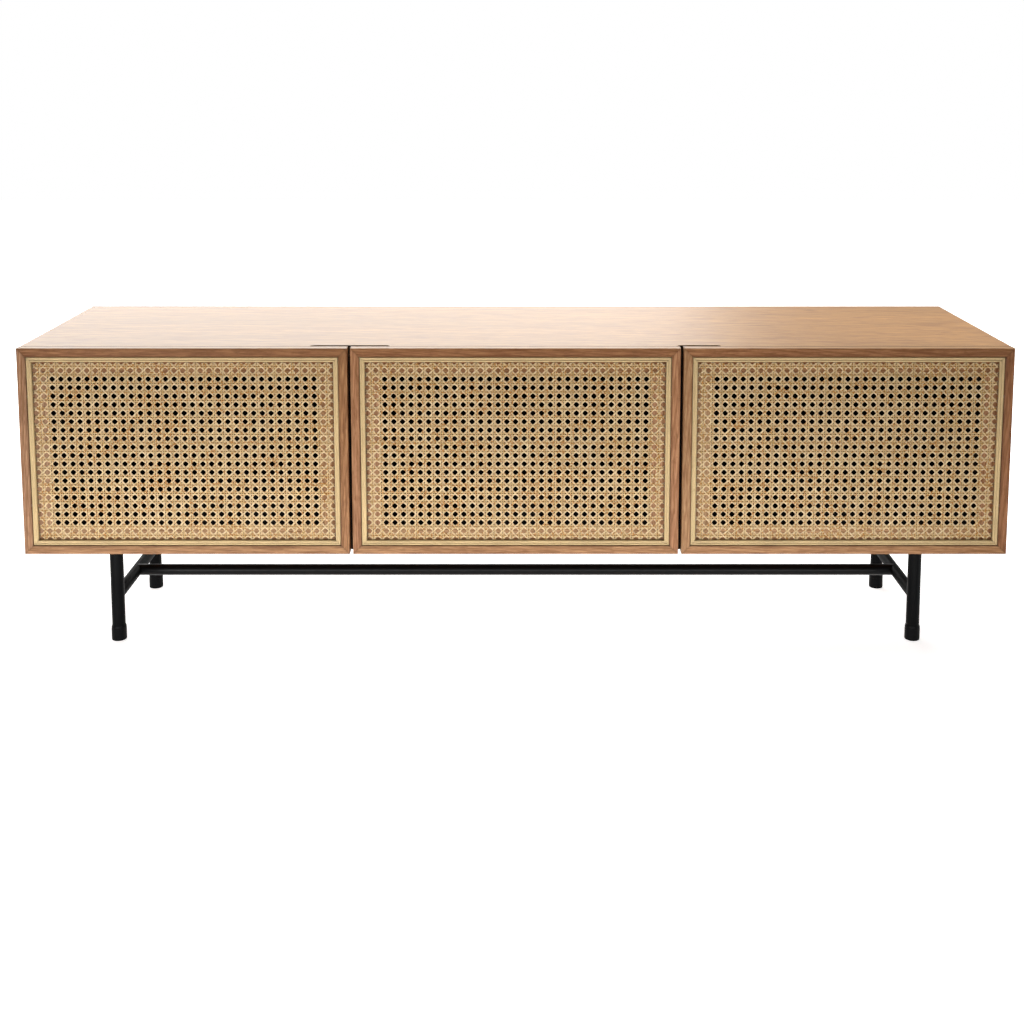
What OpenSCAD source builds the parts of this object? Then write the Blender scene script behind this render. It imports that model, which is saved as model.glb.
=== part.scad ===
// Low television console: a mitred veneered cabinet with three cane-fronted doors
// on a tubular steel frame. Millimetres, +Z up, doors facing -Y, origin on the floor
// under the middle of the cabinet.

/* [Cabinet] */
// Overall width
cabinet_w = 1800; // [1560:10:2100]
// Overall depth, doors included
cabinet_d = 450; // [400:5:520]
// Height of the cabinet from the door bottoms to the top surface
cabinet_h = 384; // [350:2:460]
// Height of the door bottoms above the floor
leg_h = 200; // [160:5:260]
// Thickness of the carcass boards
board_t = 18; // [16:1:22]
// Width of the eased outer corners
arris = 0.8; // [0.4:0.1:1.5]
// How far the carcass ends above the door bottoms
underside_rise = 2; // [1:0.5:6]
// Thickness of the back panels
back_t = 5; // [4:1:8]
// How far the back panels sit inside the rear edges
back_inset = 6; // [3:1:15]
// Diameter of each cable outlet
outlet_d = 60; // [50:5:80]
// Height of the cable outlets above the bottom panel
outlet_z = 95; // [60:5:110]

/* [Finger notches] */
// Reach of a notch to each side where two doors open
notch_reach = 73; // [50:1:100]
// Reach past the gap on the side of a door that is hinged there
notch_past = 7; // [4:1:12]
// Depth of the notch behind the carcass front
notch_deep = 9; // [7:0.5:14]

/* [Shelves] */
// Thickness of the shelves
shelf_t = 16; // [12:1:22]
// Setback of the shelves behind the carcass front
shelf_setback = 26; // [20:1:60]
// Clearance round a shelf
shelf_clear = 1; // [0.5:0.5:3]
// Spacing of the shelf pin holes
pin_row_pitch = 32; // [25:1:40]
// Number of holes in each row
pin_row_count = 5; // [3:2:5]
// Distance of the pin rows from the shelf's front and rear edges
pin_row_inset = 50; // [35:1:80]
// Diameter of the shelf pins
shelf_pin_d = 5; // [4:0.5:6]
// Depth of the pin holes
pin_hole_deep = 8; // [6:0.2:8]
// Length of a shelf pin's lug under the shelf
pin_lug_l = 8; // [6:1:12]
// Width of the lug
pin_lug_w = 9; // [7:1:14]
// Thickness of the lug
pin_lug_t = 2; // [1.5:0.5:2.5]

/* [Doors] */
// Thickness of the doors
door_t = 20; // [19:0.5:23]
// Gap between neighbouring doors
door_gap = 6; // [5:0.5:8]
// Gap between the doors and the carcass front
door_standoff = 1; // [1:0.1:2]
// Width of the stiles and rails
frame_w = 50; // [46:1:60]
// Width of the proud border round each door
lip_w = 16; // [14:0.5:22]
// Depth of the recess that takes the cane
recess_deep = 8; // [7:0.5:9]
// Thickness of the cane webbing
cane_t = 1.5; // [1.2:0.1:1.8]
// Clearance round the cane and the bead
trim_clear = 0.4; // [0.2:0.1:0.8]
// Spacing of the holes in the webbing, coarser than the woven 16 mm
cane_pitch = 22; // [20:1:30]
// Width of the diamond holes in the webbing
cane_hole = 12.5; // [9:0.5:15]
// Margin from the frame's opening to the outermost holes
cane_margin = 6; // [3:1:12]
// Width of the bead that holds the cane
bead_w = 9; // [7:0.5:11]
// How far the bead lies below the border's face
bead_below = 1.2; // [0.5:0.1:2]
// Radius of the bead's two rounded ridges
bead_ridge_r = 2; // [1.5:0.1:2.2]

/* [Hinges] */
// Distance of the hinge pin from the door's edge
pivot_in = 4; // [3.6:0.1:4.2]
// Distance of the hinge pin behind the door's face
pivot_back = 7; // [6.8:0.1:7.4]
// Diameter of the hinge pin
hinge_pin_d = 4; // [3:0.2:4.4]
// Radial clearance of the arm on the pin
hinge_clear = 0.05; // [0.02:0.01:0.09]
// Thickness of the carcass arm
arm_t = 3; // [2.5:0.1:4]
// Width of the arm's cranked bar
arm_w = 6; // [5:0.5:6.5]
// Thickness of the hinge plates
leaf_t = 2; // [1.5:0.1:2.5]
// Setback of the hinge plate behind the carcass front
leaf_set = 1; // [0.5:0.5:3]
// Distance of the arm's knee from the board
knee_gap = 4; // [3:0.5:6]
// Thickness of each fork cheek and of the fork's plate
fork_t = 1.6; // [1.2:0.1:2]
// Clearance between arm, fork and door
fork_clear = 0.3; // [0.2:0.05:0.5]
// Wood left in front of the hinge pocket
pocket_skin = 2; // [1.6:0.1:2.2]
// Distance of the hinges from the door's top and bottom
hinge_end = 90; // [70:5:120]
// Height of the plate on the carcass
leaf_h = 36; // [30:1:50]
// Length of the plate on the carcass
leaf_l = 40; // [30:1:60]
// Height of the plate on the door
fork_plate_h = 28; // [22:1:40]
// Width of the plate on the door
fork_plate_w = 15; // [12:1:16]

/* [Catches] */
// Width of a magnetic catch
catch_w = 14; // [10:1:20]
// Length of a magnetic catch
catch_l = 34; // [24:1:50]
// Height of a magnetic catch
catch_h = 12; // [10:1:16]
// Distance of the catch from the underside of the top
catch_drop = 14; // [8:1:30]
// Thickness of the strike plate
strike_t = 1.2; // [0.8:0.1:1.6]
// Air between the magnet and the strike plate
catch_air = 0.4; // [0.3:0.1:0.6]
// Depth of the slots between the catch's pole plates
catch_slot_l = 7; // [4:1:10]
// Height of those slots
catch_slot_h = 3; // [2:0.5:5]

/* [Steel frame] */
// Outer diameter of the legs
leg_d = 25; // [22:1:32]
// Wall of the tubes
tube_wall = 1.5; // [1.2:0.1:2.5]
// Distance of the leg centres from the cabinet's ends
leg_inset_x = 140; // [90:5:250]
// Distance of the leg centres from the cabinet's front and back
leg_inset_y = 91; // [70:1:120]
// Outer diameter of the stretchers
stretcher_d = 22; // [18:1:24]
// Height of the stretcher centres above the floor
stretcher_z = 87; // [70:1:120]
// Clearance at the welded saddles
saddle_clear = 0.1; // [0.05:0.05:0.3]
// Side of the square plate on top of a leg
plate_w = 80; // [64:2:100]
// Thickness of that plate
plate_t = 4; // [3:0.5:6]
// Distance of the screws from the plate's edges
plate_screw_inset = 12; // [10:1:16]

/* [Feet] */
// Diameter of a foot cup at the floor
foot_d = 28.5; // [28:0.5:36]
// Height of a foot cup
foot_h = 28; // [20:1:36]
// Thickness of its sole
foot_sole = 6; // [4:1:10]
// Rounding at the floor
foot_round = 2; // [1:0.5:3]
// Height of the tapered collar at its mouth
collar_h = 6; // [4:0.5:8]
// Wall left at the mouth of the collar
collar_wall = 0.5; // [0.3:0.1:1]
// Width of the groove under the collar
groove_w = 0.8; // [0.5:0.1:1.5]

/* [Screws] */
// Shank diameter of the leg screws
screw_d = 4; // [3:0.5:5]
// Length of the leg screws
screw_l = 16; // [12:1:18]
// Head diameter of the leg screws
screw_head_d = 8; // [7:0.5:10]
// Head height
screw_head_h = 2; // [1.5:0.5:3]
// Radial clearance of a screw or shelf pin in its hole
hole_clear = 0.05; // [0.02:0.01:0.2]
// Shank diameter of the back panel screws
back_screw_d = 3; // [2.5:0.5:4]
// Length of the back panel screws
back_screw_l = 15; // [12:1:25]
// Head diameter of the back panel screws
back_head_d = 6; // [5:0.5:8]
// Head height of the back panel screws
back_head_h = 1.5; // [1:0.5:3]
// Distance of the back panel screws from the carcass boards above and below
back_screw_end = 45; // [30:5:90]

/* [Hidden] */
$fn = 64;

wood_c = "#9c6b48";
inside_c = "#1d1a18";
cane_c = "#d7b482";
bead_c = "#e1c896";
steel_c = "#26272a";
hinge_c = "#a9abad";
plastic_c = "#5b4636";
cut = 1;

// Main planes
front_y = -cabinet_d / 2;
rear_y = cabinet_d / 2;
carcass_front = front_y + door_t + door_standoff;
top_z = leg_h + cabinet_h;
under_z = leg_h + underside_rise;
floor_z = under_z + board_t;
ceiling_z = top_z - board_t;
back_front = rear_y - back_inset - back_t;
half_w = cabinet_w / 2;

// Doors and the partitions behind the gaps between them
door_w = (cabinet_w - 2 * door_gap) / 3;
door_h = cabinet_h;
gap_x = (door_w + door_gap) / 2;
bay_edges = [[-half_w + board_t, -gap_x - board_t / 2],
    [-gap_x + board_t / 2, gap_x - board_t / 2],
    [gap_x + board_t / 2, half_w - board_t]];
bay_mid_z = (floor_z + ceiling_z) / 2;
LEFT = 0;
MIDDLE = 1;
RIGHT = 2;

// Shelves and their pin rows
shelf_front = carcass_front + shelf_setback;
shelf_rear = back_front - shelf_clear;
pin_rows_y = [shelf_front + pin_row_inset, shelf_rear - pin_row_inset];
shelf_z = bay_mid_z + shelf_pin_d / 2;
pin_hole_r = shelf_pin_d / 2 + hole_clear;

// Hinge pocket, measured from the door's hinge edge, face and hinge height
cheek_z = arm_t / 2 + fork_clear;
pocket_half = cheek_z + fork_t + fork_clear;
boss_r = pivot_in - fork_clear;
pocket_floor = recess_deep + pocket_skin;
fork_w = door_t - pocket_floor - 2 * fork_clear;
arm_side = arm_w / 2;
knee_back = pocket_floor + fork_clear + arm_w + arm_t / 3;
outer_face_u = board_t;
inner_face_u = (board_t - door_gap) / 2;
fork_plate_u = outer_face_u + arm_w + knee_gap + fork_clear + leaf_t;
leaf_start = door_t + door_standoff + leaf_set;
hinge_zs = [hinge_end, door_h - hinge_end];

// Steel frame
leg_x = half_w - leg_inset_x;
leg_y = rear_y - leg_inset_y;
leg_r = leg_d / 2;
stretcher_r = stretcher_d / 2;
plate_screw = plate_w / 2 - plate_screw_inset;
foot_bore_r = leg_r + saddle_clear;
foot_mouth_r = foot_bore_r + collar_wall;
foot_r = foot_d / 2;

// Moves a shape drawn from the hinge edge, the face and the bottom of a door to that door
module at_door(i) {
    if (i == LEFT)
        translate([-half_w, front_y, leg_h]) children();
    else
        translate([-half_w + i * (door_w + door_gap) + door_w, front_y, leg_h])
            mirror([1, 0, 0]) children();
}

// Extrudes an outline drawn in X and Z from the y of one face to the y of the other
module across(y0, y1) {
    translate([0, y1, 0]) rotate([90, 0, 0]) linear_extrude(y1 - y0) children();
}

module block(x0, x1, y0, y1, z0, z1) {
    translate([x0, y0, z0]) cube([x1 - x0, y1 - y0, z1 - z0]);
}

// Carcass: four boards mitred into a box, each outer corner eased on the mitre
module mitred_lid() {
    across(carcass_front, rear_y)
        polygon([[-half_w + arris, top_z], [half_w - arris, top_z],
            [half_w - arris / 2, top_z - arris / 2], [half_w - board_t, ceiling_z],
            [-half_w + board_t, ceiling_z], [-half_w + arris / 2, top_z - arris / 2]]);
}

module finger_notch(x0, x1) {
    translate([0, carcass_front, ceiling_z - cut]) linear_extrude(board_t + 2 * cut) {
        translate([x0 + notch_deep, -notch_deep])
            square([x1 - x0 - 2 * notch_deep, 2 * notch_deep]);
        for (x = [x0 + notch_deep, x1 - notch_deep])
            translate([x, 0]) circle(notch_deep);
    }
}

module top_panel() {
    color(wood_c) difference() {
        mitred_lid();
        finger_notch(-gap_x - notch_reach, -gap_x + notch_reach);
        finger_notch(gap_x - notch_past, gap_x + notch_reach);
    }
}

module bottom_panel() {
    color(wood_c) difference() {
        translate([0, 0, under_z + top_z]) mirror([0, 0, 1]) mitred_lid();
        at_leg_screws() cylinder(h = screw_l + cut, r = screw_d / 2 + hole_clear);
    }
}

module pin_holes(face_x, way) {
    for (y = pin_rows_y, k = [0 : pin_row_count - 1])
        translate([face_x, y, bay_mid_z + (k - (pin_row_count - 1) / 2) * pin_row_pitch])
            rotate([0, 90 * way, 0]) translate([0, 0, -cut])
                cylinder(h = pin_hole_deep + cut, r = pin_hole_r);
}

module side_panel() {
    difference() {
        across(carcass_front, rear_y)
            polygon([[-half_w, under_z + arris], [-half_w + arris / 2, under_z + arris / 2],
                [-half_w + board_t, floor_z], [-half_w + board_t, ceiling_z],
                [-half_w + arris / 2, top_z - arris / 2], [-half_w, top_z - arris]]);
        pin_holes(-half_w + board_t, -1);
    }
}

module left_side_panel() {
    color(wood_c) side_panel();
}

module right_side_panel() {
    color(wood_c) mirror([1, 0, 0]) side_panel();
}

module partition() {
    difference() {
        block(-gap_x - board_t / 2, -gap_x + board_t / 2, carcass_front, back_front, floor_z, ceiling_z);
        pin_holes(-gap_x - board_t / 2, 1);
        pin_holes(-gap_x + board_t / 2, -1);
        back_screw_holes();
    }
}

module left_partition() {
    color(inside_c) partition();
}

module right_partition() {
    color(inside_c) mirror([1, 0, 0]) partition();
}

// Back panels: thin boards that meet on the middle of a partition
back_joins = [-half_w + board_t, -gap_x, gap_x, half_w - board_t];

module back_panel(i) {
    bay_mid_x = (bay_edges[i][0] + bay_edges[i][1]) / 2;
    color(inside_c) difference() {
        block(back_joins[i], back_joins[i + 1], back_front, back_front + back_t, floor_z, ceiling_z);
        translate([bay_mid_x, back_front - cut, floor_z + outlet_z]) rotate([-90, 0, 0])
            cylinder(h = back_t + 2 * cut, d = outlet_d);
        back_screw_holes();
        mirror([1, 0, 0]) back_screw_holes();
    }
}

// The screws stand on both sides of each joint between two back panels
module at_back_screws() {
    for (side = [-1, 1], z = [floor_z + back_screw_end, bay_mid_z, ceiling_z - back_screw_end])
        translate([-gap_x + side * board_t / 4, back_front + back_t, z]) rotate([90, 0, 0]) children();
}

module back_screw_holes() {
    at_back_screws() translate([0, 0, -cut])
        cylinder(h = back_screw_l + 2 * cut, r = back_screw_d / 2 + hole_clear);
}

module back_screw_pair_rows() {
    at_back_screws() {
        cylinder(h = back_screw_l, d = back_screw_d);
        translate([0, 0, -back_head_h]) cylinder(h = back_head_h, d1 = back_screw_d, d2 = back_head_d);
    }
}

module back_screws() {
    color(hinge_c) {
        back_screw_pair_rows();
        mirror([1, 0, 0]) back_screw_pair_rows();
    }
}

// Shelves lie on the flat lugs of their pins
module shelf(i) {
    color(inside_c) block(bay_edges[i][0] + shelf_clear, bay_edges[i][1] - shelf_clear,
        shelf_front, shelf_rear, shelf_z, shelf_z + shelf_t);
}

module shelf_pin() {
    translate([-pin_hole_deep + hole_clear, 0, 0]) rotate([0, 90, 0])
        cylinder(h = pin_hole_deep - hole_clear + pin_lug_t, d = shelf_pin_d);
    translate([0, -pin_lug_w / 2, -shelf_pin_d / 2]) cube([pin_lug_t, pin_lug_w, shelf_pin_d]);
    translate([0, -pin_lug_w / 2, shelf_pin_d / 2 - pin_lug_t]) cube([pin_lug_l, pin_lug_w, pin_lug_t]);
}

module shelf_pins() {
    color(hinge_c) for (bay = bay_edges, y = pin_rows_y) {
        translate([bay[0], y, bay_mid_z]) shelf_pin();
        translate([bay[1], y, bay_mid_z]) mirror([1, 0, 0]) shelf_pin();
    }
}

// Door frame: members with a lip in front and a recess for the cane, mitred at 45 degrees
module member_section() {
    polygon([[0, arris], [arris, 0], [lip_w - arris, 0], [lip_w, arris], [lip_w, recess_deep],
        [frame_w, recess_deep], [frame_w, door_t], [arris, door_t], [0, door_t - arris]]);
}

module mitred(length, width) {
    intersection() {
        linear_extrude(length) children();
        across(-cut, door_t + cut)
            polygon([[0, 0], [width, width], [width, length - width], [0, length]]);
    }
}

module frame_member(length) {
    mitred(length, frame_w) member_section();
}

// Each hinge sits in a pocket that is open at the back and at the edge of the stile
module hinge_stile() {
    color(wood_c) difference() {
        frame_member(door_h);
        for (z = hinge_zs) {
            block(-cut, lip_w, pocket_skin, door_t + cut, z - pocket_half, z + pocket_half);
            block(lip_w - cut, fork_plate_u + fork_plate_w / 2, pocket_floor, door_t + cut,
                z - pocket_half, z + pocket_half);
        }
    }
}

module free_stile() {
    color(wood_c) translate([door_w, 0, 0]) mirror([1, 0, 0]) frame_member(door_h);
}

module bottom_rail() {
    color(wood_c) mirror([1, 0, -1]) frame_member(door_w);
}

module top_rail() {
    color(wood_c) translate([0, 0, door_h]) mirror([0, 0, 1])
        mirror([1, 0, -1]) frame_member(door_w);
}

// Cane webbing, lying on the recess floor
cane_in = lip_w + trim_clear;
opening_w = door_w - 2 * frame_w;
opening_h = door_h - 2 * frame_w;
holes_x = floor((opening_w - 2 * cane_margin - cane_hole) / cane_pitch);
holes_z = floor((opening_h - 2 * cane_margin - cane_hole) / cane_pitch);

module cane_webbing() {
    color(cane_c) across(recess_deep - cane_t, recess_deep) difference() {
        translate([cane_in, cane_in]) square([door_w - 2 * cane_in, door_h - 2 * cane_in]);
        for (i = [0 : holes_x], k = [0 : holes_z])
            translate([door_w / 2 + (i - holes_x / 2) * cane_pitch,
                door_h / 2 + (k - holes_z / 2) * cane_pitch])
                circle(d = cane_hole, $fn = 4);
    }
}

// Bead of two rounded ridges that pins the edge of the cane down
module bead_section() {
    crown = bead_below + bead_ridge_r;
    translate([0, crown]) square([bead_w, recess_deep - cane_t - crown]);
    for (w = [bead_ridge_r, bead_w - bead_ridge_r])
        translate([w, crown]) circle(bead_ridge_r);
    translate([bead_ridge_r, crown - bead_ridge_r / 2])
        square([bead_w - 2 * bead_ridge_r, bead_ridge_r]);
}

module bead_strip(length) {
    mitred(length, bead_w) bead_section();
}

module bead() {
    w = door_w - 2 * cane_in;
    h = door_h - 2 * cane_in;
    color(bead_c) translate([cane_in, 0, cane_in]) {
        bead_strip(h);
        translate([w, 0, 0]) mirror([1, 0, 0]) bead_strip(h);
        mirror([1, 0, -1]) bead_strip(w);
        translate([0, 0, h]) mirror([0, 0, 1]) mirror([1, 0, -1]) bead_strip(w);
    }
}

// Fork on the door: two cheeks that carry the pin, and a plate on the door's back
module fork_cheek() {
    translate([pivot_in, pivot_back]) circle(boss_r);
    translate([pivot_in - boss_r + fork_clear, pivot_back])
        square([2 * boss_r - fork_clear, door_t - fork_clear - pivot_back]);
    translate([pivot_in, pocket_floor + fork_clear])
        square([fork_plate_u + fork_plate_w / 2 - fork_clear - pivot_in, fork_w + fork_clear]);
}

module hinge_forks() {
    color(hinge_c) for (z = hinge_zs) {
        for (cheek_low = [z - cheek_z - fork_t, z + cheek_z])
            translate([0, 0, cheek_low]) linear_extrude(fork_t) fork_cheek();
        translate([pivot_in, pivot_back, z - cheek_z - fork_t / 2])
            cylinder(h = 2 * cheek_z + fork_t, d = hinge_pin_d);
        block(fork_plate_u, fork_plate_u + fork_plate_w, door_t, door_t + fork_t,
            z - fork_plate_h / 2, z + fork_plate_h / 2);
        for (cheek_low = [z - cheek_z - fork_t, z + cheek_z])
            block(fork_plate_u, fork_plate_u + fork_plate_w / 2 - fork_clear,
                door_t - 2 * fork_clear, door_t + fork_t / 2, cheek_low, cheek_low + fork_t);
    }
}

// Cranked arm on the carcass, drawn from the same door edge; face_u is the board's inner face
module hinge_arm(face_u) {
    knee_u = face_u + knee_gap;
    lean = atan2(knee_back - pivot_back, knee_u - pivot_in);
    reach = norm([knee_back - pivot_back, knee_u - pivot_in]);
    difference() {
        union() {
            translate([0, 0, -arm_t / 2]) linear_extrude(arm_t) {
                translate([pivot_in, pivot_back]) circle(boss_r);
                translate([pivot_in, pivot_back]) rotate(lean)
                    translate([0, -arm_side]) square([reach, arm_w]);
                translate([knee_u, knee_back]) circle(arm_side);
                translate([face_u + fork_clear, knee_back])
                    square([knee_gap + arm_side - fork_clear, leaf_start - knee_back + leaf_t]);
            }
            translate([0, 0, -arm_t / 2]) linear_extrude(arm_t)
                translate([face_u, leaf_start]) square([knee_gap + arm_side, arm_w]);
            block(face_u, face_u + leaf_t, leaf_start, leaf_start + leaf_l, -leaf_h / 2, leaf_h / 2);
        }
        translate([pivot_in, pivot_back, -arm_t])
            cylinder(h = 2 * arm_t, r = hinge_pin_d / 2 + hinge_clear);
    }
}

module hinge_arms(i) {
    color(hinge_c) at_door(i) for (z = hinge_zs)
        translate([0, 0, z]) hinge_arm(i == MIDDLE ? inner_face_u : outer_face_u);
}

// Magnetic catches near the free edge of each door, drawn from the door's hinge edge
strike_z = ceiling_z - catch_drop - catch_h - leg_h;
catch_front = door_t + strike_t + catch_air;

catch_u = door_w - inner_face_u - catch_w;
pole_w = catch_w / 5;

module door_catch() {
    difference() {
        block(catch_u, catch_u + catch_w, catch_front, catch_front + catch_l, strike_z, strike_z + catch_h);
        for (k = [1, 3])
            block(catch_u + k * pole_w, catch_u + (k + 1) * pole_w,
                catch_front - cut, catch_front + catch_slot_l, strike_z - cut, strike_z + catch_slot_h);
    }
}

module door_catches() {
    color(plastic_c) for (i = [LEFT, MIDDLE, RIGHT])
        at_door(i) door_catch();
}

module strike_plate() {
    color(hinge_c) difference() {
        block(catch_u, catch_u + catch_w, door_t, door_t + strike_t, strike_z, strike_z + catch_h);
        translate([catch_u + catch_w / 2, door_t - cut, strike_z + catch_h / 2])
            rotate([-90, 0, 0]) cylinder(h = strike_t + 2 * cut, d = back_screw_d);
    }
}

// Steel frame: each leg is a tube welded to a square plate under the bottom panel
module at_plate_screws() {
    for (x = [-plate_screw, plate_screw], y = [-plate_screw, plate_screw])
        translate([x, y, under_z - plate_t]) children();
}

module at_leg_screws() {
    for (x = [-leg_x, leg_x], y = [-leg_y, leg_y])
        translate([x, y, 0]) at_plate_screws() children();
}

module leg(side_x, side_y) {
    color(steel_c) translate([side_x * leg_x, side_y * leg_y, 0]) difference() {
        union() {
            translate([0, 0, foot_sole]) cylinder(h = under_z - plate_t - foot_sole, r = leg_r);
            translate([-plate_w / 2, -plate_w / 2, under_z - plate_t]) cube([plate_w, plate_w, plate_t]);
        }
        translate([0, 0, foot_sole - cut])
            cylinder(h = under_z - plate_t - foot_sole + cut, r = leg_r - tube_wall);
        at_plate_screws() translate([0, 0, -cut])
            cylinder(h = plate_t + 2 * cut, r = screw_d / 2 + hole_clear);
    }
}

module leg_screws() {
    color(hinge_c) at_leg_screws() {
        cylinder(h = screw_l, d = screw_d);
        translate([0, 0, -screw_head_h]) cylinder(h = screw_head_h, d = screw_head_d);
    }
}

module side_stretcher(side_x) {
    color(steel_c) translate([side_x * leg_x, 0, stretcher_z]) difference() {
        rotate([90, 0, 0]) cylinder(h = 2 * leg_y, r = stretcher_r, center = true);
        rotate([90, 0, 0]) cylinder(h = 2 * leg_y + cut, r = stretcher_r - tube_wall, center = true);
        for (y = [-leg_y, leg_y])
            translate([0, y, -stretcher_d]) cylinder(h = 2 * stretcher_d, r = leg_r + saddle_clear);
    }
}

module long_stretcher() {
    color(steel_c) translate([0, 0, stretcher_z]) difference() {
        rotate([0, 90, 0]) cylinder(h = 2 * leg_x, r = stretcher_r, center = true);
        rotate([0, 90, 0]) cylinder(h = 2 * leg_x + cut, r = stretcher_r - tube_wall, center = true);
        for (x = [-leg_x, leg_x])
            translate([x, 0, 0]) rotate([90, 0, 0])
                cylinder(h = 2 * stretcher_d, r = stretcher_r + saddle_clear, center = true);
    }
}

// Foot: a cup that the leg tube stands in, with a tapered collar and a groove below it
module foot_section() {
    wall_top = foot_h - collar_h - groove_w;
    difference() {
        union() {
            translate([0, foot_round]) square([foot_r, wall_top - foot_round]);
            square([foot_r - foot_round, foot_round + cut]);
            translate([foot_r - foot_round, foot_round]) circle(foot_round);
            square([foot_r - groove_w / 2, foot_h - collar_h]);
            polygon([[0, foot_h - collar_h], [foot_r - groove_w / 4, foot_h - collar_h],
                [foot_r - groove_w / 4, foot_h - collar_h / 2], [foot_mouth_r, foot_h], [0, foot_h]]);
        }
        translate([0, foot_sole]) square([foot_bore_r, foot_h]);
        translate([-foot_r, 0]) square([foot_r, foot_h + cut]);
    }
}

module foot(side_x, side_y) {
    color(steel_c) translate([side_x * leg_x, side_y * leg_y, 0]) rotate_extrude() foot_section();
}

top_panel();
bottom_panel();
left_side_panel();
right_side_panel();
left_partition();
right_partition();
back_panel(LEFT);  // left_back_panel
back_panel(MIDDLE);  // middle_back_panel
back_panel(RIGHT);  // right_back_panel
shelf(LEFT);  // left_shelf
shelf(MIDDLE);  // middle_shelf
shelf(RIGHT);  // right_shelf
shelf_pins();
hinge_arms(LEFT);  // left_hinge_arms
hinge_arms(MIDDLE);  // middle_hinge_arms
hinge_arms(RIGHT);  // right_hinge_arms
door_catches();
leg(-1, -1);  // front_left_leg
leg(1, -1);  // front_right_leg
leg(-1, 1);  // back_left_leg
leg(1, 1);  // back_right_leg
side_stretcher(-1);  // left_side_stretcher
side_stretcher(1);  // right_side_stretcher
long_stretcher();
foot(-1, -1);  // front_left_foot
foot(1, -1);  // front_right_foot
foot(-1, 1);  // back_left_foot
foot(1, 1);  // back_right_foot
leg_screws();
back_screws();
at_door(LEFT) hinge_stile();  // left_hinge_stile
at_door(LEFT) free_stile();  // left_free_stile
at_door(LEFT) top_rail();  // left_top_rail
at_door(LEFT) bottom_rail();  // left_bottom_rail
at_door(LEFT) bead();  // left_bead
at_door(LEFT) cane_webbing();  // left_cane
at_door(LEFT) hinge_forks();  // left_hinge_forks
at_door(LEFT) strike_plate();  // left_strike_plate
at_door(MIDDLE) hinge_stile();  // middle_hinge_stile
at_door(MIDDLE) free_stile();  // middle_free_stile
at_door(MIDDLE) top_rail();  // middle_top_rail
at_door(MIDDLE) bottom_rail();  // middle_bottom_rail
at_door(MIDDLE) bead();  // middle_bead
at_door(MIDDLE) cane_webbing();  // middle_cane
at_door(MIDDLE) hinge_forks();  // middle_hinge_forks
at_door(MIDDLE) strike_plate();  // middle_strike_plate
at_door(RIGHT) hinge_stile();  // right_hinge_stile
at_door(RIGHT) free_stile();  // right_free_stile
at_door(RIGHT) top_rail();  // right_top_rail
at_door(RIGHT) bottom_rail();  // right_bottom_rail
at_door(RIGHT) bead();  // right_bead
at_door(RIGHT) cane_webbing();  // right_cane
at_door(RIGHT) hinge_forks();  // right_hinge_forks
at_door(RIGHT) strike_plate();  // right_strike_plate
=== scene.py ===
# A television console with three cane-fronted doors on a tubular steel frame, dressed
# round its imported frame. Metres, +Z up, doors facing -Y, origin on the floor under the
# middle of the cabinet.

import math
import random
from itertools import count

import bmesh
import bpy
from bpy.props import FloatProperty, FloatVectorProperty, PointerProperty
from bpy.types import Operator, Panel, PropertyGroup
from mathutils import Matrix, Vector


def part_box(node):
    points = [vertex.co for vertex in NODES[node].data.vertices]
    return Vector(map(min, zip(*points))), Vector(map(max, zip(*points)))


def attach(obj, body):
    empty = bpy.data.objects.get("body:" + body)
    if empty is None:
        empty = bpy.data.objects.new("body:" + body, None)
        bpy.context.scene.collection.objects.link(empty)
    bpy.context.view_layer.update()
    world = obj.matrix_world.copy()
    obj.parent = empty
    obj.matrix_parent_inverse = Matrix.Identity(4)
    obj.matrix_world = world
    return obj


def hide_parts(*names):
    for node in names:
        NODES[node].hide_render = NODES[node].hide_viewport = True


bl_info = {
    "name": "Cane Console",
    "version": (1, 0, 0),
    "blender": (4, 5, 0),
    "location": "3D View > Sidebar > Console",
    "description": "Weaves, finishes and lights a cane-fronted television console",
    "category": "Object",
}

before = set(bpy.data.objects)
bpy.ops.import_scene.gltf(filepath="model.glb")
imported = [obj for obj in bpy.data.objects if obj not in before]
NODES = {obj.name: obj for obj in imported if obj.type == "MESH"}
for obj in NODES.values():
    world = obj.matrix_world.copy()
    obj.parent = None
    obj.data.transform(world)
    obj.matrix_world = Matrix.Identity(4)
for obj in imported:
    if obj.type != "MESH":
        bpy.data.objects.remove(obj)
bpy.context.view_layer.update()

DOORS = ("left", "middle", "right")
MM = 0.001

# Planes of the cabinet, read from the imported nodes
TOP_LOW, TOP_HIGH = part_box("top_panel")
FLOOR_Z, CEILING_Z = (corner.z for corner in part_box("left_partition"))
INNER_X = -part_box("left_side_panel")[1].x

# Width of a bead's strips, and depth of a finger notch
BEAD_W = 9 * MM
NOTCH_DEEP = 9 * MM
# How far the dark stain and the painted shade run past the planes that they end at
STAIN_AND_SHADE_REACH = 0.2 * MM

# How far the webbing stops short of its panel's edges, which the frame covers
WEB_INSET = 3 * MM
# How far the webbing's middle lies before the panel's back, and how far a paired strand
# rises where it crosses the others, both in strand thicknesses
WEB_DEPTH = 1.5
PAIR_RISE = 0.55
# Length of the straight steps that a strand is made of
STRAND_STEP = 2 * MM
WANDER_SEED = 7

# Veneer differs a little from one member of a door's frame to the next, and some members
# also from door to door. The tones also hold painted light: the top rails are darker as
# painted shade, the bottom rails paler as painted light, and the left door's hinge stile
# paler and cooler as a painted sheen
VENEER_AND_LIGHT_TONES = {
    "top_rail": (0.81, 0.76, 0.68),
    "bottom_rail": (1.03, 1.12, 1.08),
    "left_hinge_stile": (1.10, 1.22, 1.34),
    "left_free_stile": (0.80, 0.80, 0.72),
    "right_free_stile": (1.15, 1.30, 1.30),
    "right_hinge_stile": (0.81, 0.75, 0.71),
}
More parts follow.
